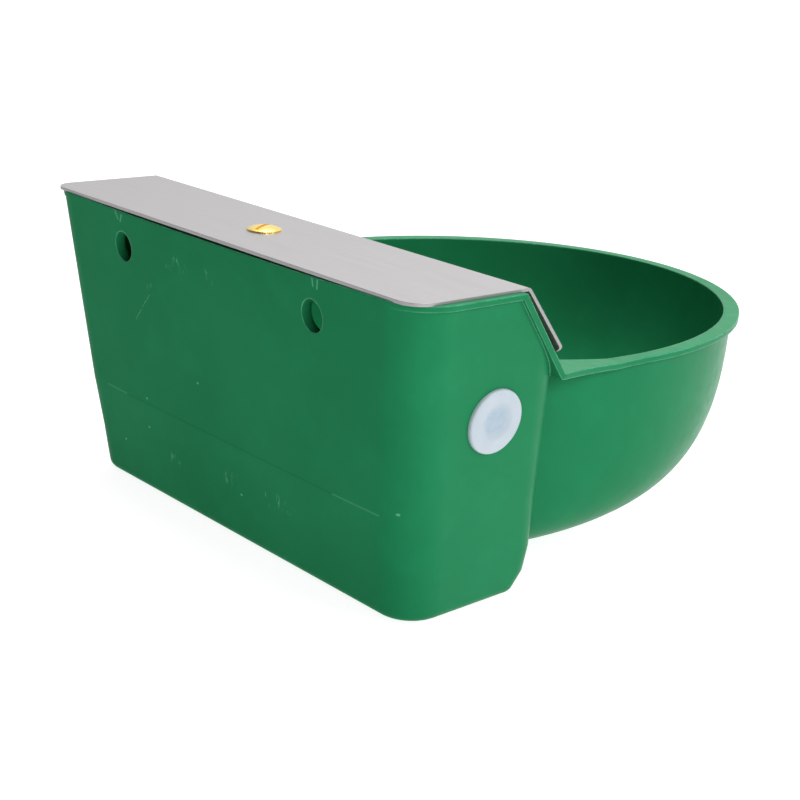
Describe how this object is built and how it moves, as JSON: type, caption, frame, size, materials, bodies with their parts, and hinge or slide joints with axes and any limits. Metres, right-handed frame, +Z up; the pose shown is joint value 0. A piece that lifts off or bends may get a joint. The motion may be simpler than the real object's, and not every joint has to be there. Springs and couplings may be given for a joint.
{
  "type": "livestock drinking bowl",
  "caption": "Wall-hung drinking bowl for livestock: moulded tub with a round bowl, steel cover over the valve chamber, float valve and blanking plug.",
  "frame": {"origin": "midway between the two wall bolt holes, on the back wall's outer face", "axes": "+X to the right of someone facing the bowl, +Y into the wall, +Z up"},
  "size_m": [0.3133, 0.3152, 0.1559],
  "materials": {
    "green_plastic": "satin moulded, faintly mottled",
    "cover_sheet": "rolled stainless, dull",
    "screw_brass": "turned",
    "plug_plastic": "translucent milky",
    "valve_plastic": "moulded",
    "lever_plastic": "moulded",
    "float_plastic": "blow moulded",
    "seal_rubber": "dull",
    "pin_steel": "drawn"
  },
  "bodies": {
    "tub": {"bowl_body": "green_plastic", "screw_insert": "screw_brass", "valve_body": "valve_plastic", "valve_gasket": "seal_rubber", "tail_washer": "pin_steel", "lock_nut": "screw_brass", "nozzle": "screw_brass", "pivot_pin": "pin_steel", "pin_clip": "pin_steel"},
    "lid": {"cover": "cover_sheet"},
    "lid_screw": {"cover_screw": "screw_brass"},
    "side_plug": {"blanking_plug": "plug_plastic"},
    "float_arm": {"float_lever": "lever_plastic"},
    "valve_plunger": {"plunger": "valve_plastic", "seal_disc": "seal_rubber"},
    "float_slider": {"float": "float_plastic", "float_stud": "screw_brass", "float_washer": "pin_steel", "wing_nut": "screw_brass"}
  },
  "joints": [
    {"name": "float_swing", "type": "hinge", "parent": "tub", "child": "float_arm", "pos_m": [0.10206, -0.0515, -0.04745], "axis": [0, 1, 0], "range_deg": [0, 12]},
    {"name": "plunger_slide", "type": "slide", "parent": "tub", "child": "valve_plunger", "axis": [0.9942, 0, -0.1074], "range_m": [0, 0.00272]},
    {"name": "float_adjust", "type": "slide", "parent": "float_arm", "child": "float_slider", "axis": [0.9925, 0, 0.1219], "range_m": [-0.01, 0.01]},
    {"name": "cover_lift", "type": "slide", "parent": "tub", "child": "lid", "axis": [0, 0, 1], "range_m": [0, 0.08]},
    {"name": "screw_out", "type": "slide", "parent": "lid", "child": "lid_screw", "axis": [0, 0, 1], "range_m": [0, 0.025]},
    {"name": "plug_pull", "type": "slide", "parent": "tub", "child": "side_plug", "axis": [-0.9942, 0, -0.1074], "range_m": [0, 0.02]}
  ],
  "couplings": [
    {"joint": "plunger_slide", "follows": "float_swing", "m_per_rad": 0.012976}
  ]
}
